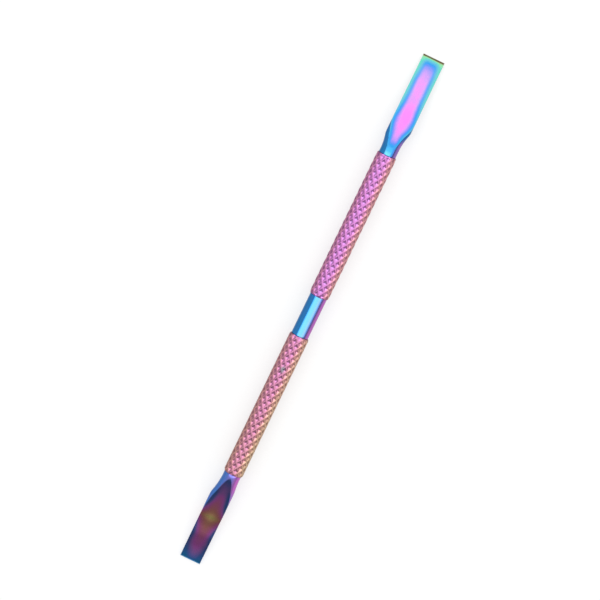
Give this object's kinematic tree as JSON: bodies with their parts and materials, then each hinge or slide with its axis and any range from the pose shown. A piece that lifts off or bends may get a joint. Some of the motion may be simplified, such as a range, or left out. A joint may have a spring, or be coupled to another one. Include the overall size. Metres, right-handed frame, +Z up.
{
  "type": "cuticle pusher",
  "caption": "Double-ended cuticle pusher: flat square-tipped blades bent slightly down at both ends of a slim diamond-knurled handle with a smooth centre band.",
  "frame": {"origin": "on the table plane that the two tips rest on, straight below the middle of the centre band", "axes": "+X along the handle towards the pusher blade, +Z up from the table, on the side of the bevelled blade faces, and +Y across the handle"},
  "size_m": [0.1266, 0.0056, 0.0058],
  "materials": {
    "blade_film": "polished steel under an iridescent film that runs magenta, violet, blue and teal",
    "knurl_film": "diamond-knurled steel under an iridescent film, rose and mauve with gold and brown sides",
    "band_film": "polished steel under an iridescent film, cyan and blue with a violet side"
  },
  "bodies": {
    "root": {"pusher_blade": "blade_film", "front_grip_sleeve": "knurl_film", "centre_band": "band_film", "rear_grip_sleeve": "knurl_film", "scraper_blade": "blade_film"}
  },
  "joints": []
}
